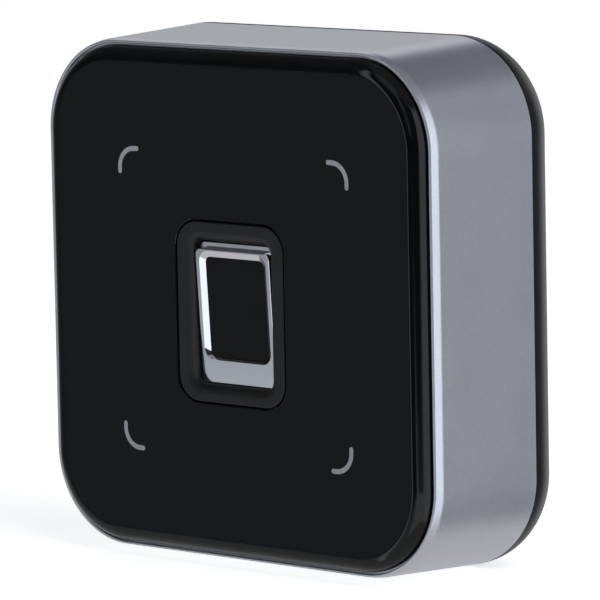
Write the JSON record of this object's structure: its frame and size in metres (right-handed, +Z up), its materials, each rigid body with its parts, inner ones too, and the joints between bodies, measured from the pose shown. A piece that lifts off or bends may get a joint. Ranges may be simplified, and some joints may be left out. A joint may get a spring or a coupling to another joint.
{
  "type": "fingerprint scanner terminal",
  "caption": "Square wall-mounted fingerprint scanner terminal with rounded corners, a glossy black front in a silver frame, and a leaning framed sensor.",
  "frame": {"origin": "centre of the wall slots on the wall plane, behind the middle of the case", "axes": "+Z up, +Y into the wall, the front of the terminal faces -Y"},
  "size_m": [0.0922, 0.0363, 0.0928],
  "materials": {
    "silver_paint": "fine metallic silver paint, satin",
    "clear_lens": "clear hard-coated panel",
    "black_print": "black printed film",
    "mark_diffuser": "translucent grey-white inlay",
    "foam": "black foam tape",
    "clear_guide": "clear moulded light guide",
    "led_white": "lamp package",
    "matte_black": "finely textured black moulding",
    "chrome": "bright chrome plate",
    "sensor_black": "smooth black sensing surface",
    "seal_rubber": "black elastomer",
    "circuit_board": "green solder mask",
    "black_package": "moulded package",
    "cable_film": "amber flat cable",
    "connector_white": "natural connector plastic",
    "connector_green": "green terminal plastic",
    "housing_black": "satin black moulding",
    "bright_metal": "bright plated metal",
    "screw_steel": "zinc-plated steel",
    "sheet_steel": "zinc-plated sheet steel",
    "spring_steel": "spring wire",
    "relay_blue": "blue relay case",
    "plunger_white": "natural acetal"
  },
  "bodies": {
    "wall_plate": {"wall_plate": "sheet_steel"},
    "terminal": {"front_frame": "silver_paint", "front_panel": "clear_lens", "panel_print": "black_print", "corner_marks": "mark_diffuser", "panel_tape": "foam", "light_guides": "clear_guide", "status_leds": "led_white", "sensor_surround": "matte_black", "sensor_bezel": "chrome", "sensor_gasket": "seal_rubber", "sensor_window": "sensor_black", "sensor_board": "circuit_board", "sensor_connector": "connector_white", "sensor_bracket": "black_package", "sensor_screws": "screw_steel", "sensor_cable": "cable_film", "cable_socket": "connector_white", "housing_seal": "seal_rubber", "rear_housing": "housing_black", "housing_screws": "screw_steel", "main_board": "circuit_board", "board_screws": "screw_steel", "processor_chip": "black_package", "memory_chip": "black_package", "crystal": "bright_metal", "transceiver_chip": "black_package", "voltage_regulator": "black_package", "inductor": "black_package", "capacitors": "bright_metal", "relay": "relay_blue", "buzzer": "black_package", "battery_holder": "connector_white", "backup_battery": "bright_metal", "terminal_header": "connector_green", "terminal_plug": "connector_green", "tamper_switch": "black_package", "tamper_spring": "spring_steel"},
    "tamper_plunger": {"tamper_plunger": "plunger_white"},
    "security_screw": {"security_screw": "screw_steel"}
  },
  "joints": [
    {"name": "release_tilt", "type": "hinge", "parent": "wall_plate", "child": "terminal", "pos_m": [0, 0, 0.0375], "axis": [-1, 0, 0], "range_deg": [0, 10]},
    {"name": "tamper_travel", "type": "slide", "parent": "terminal", "child": "tamper_plunger", "axis": [0, 1, 0], "range_m": [0, 0.0015]},
    {"name": "security_screw_drive", "type": "slide", "parent": "terminal", "child": "security_screw", "axis": [0, 0, 1], "range_m": [0, 0.0032]}
  ],
  "couplings": [
    {"joint": "tamper_travel", "follows": "release_tilt", "m_per_rad": 0.00844}
  ]
}
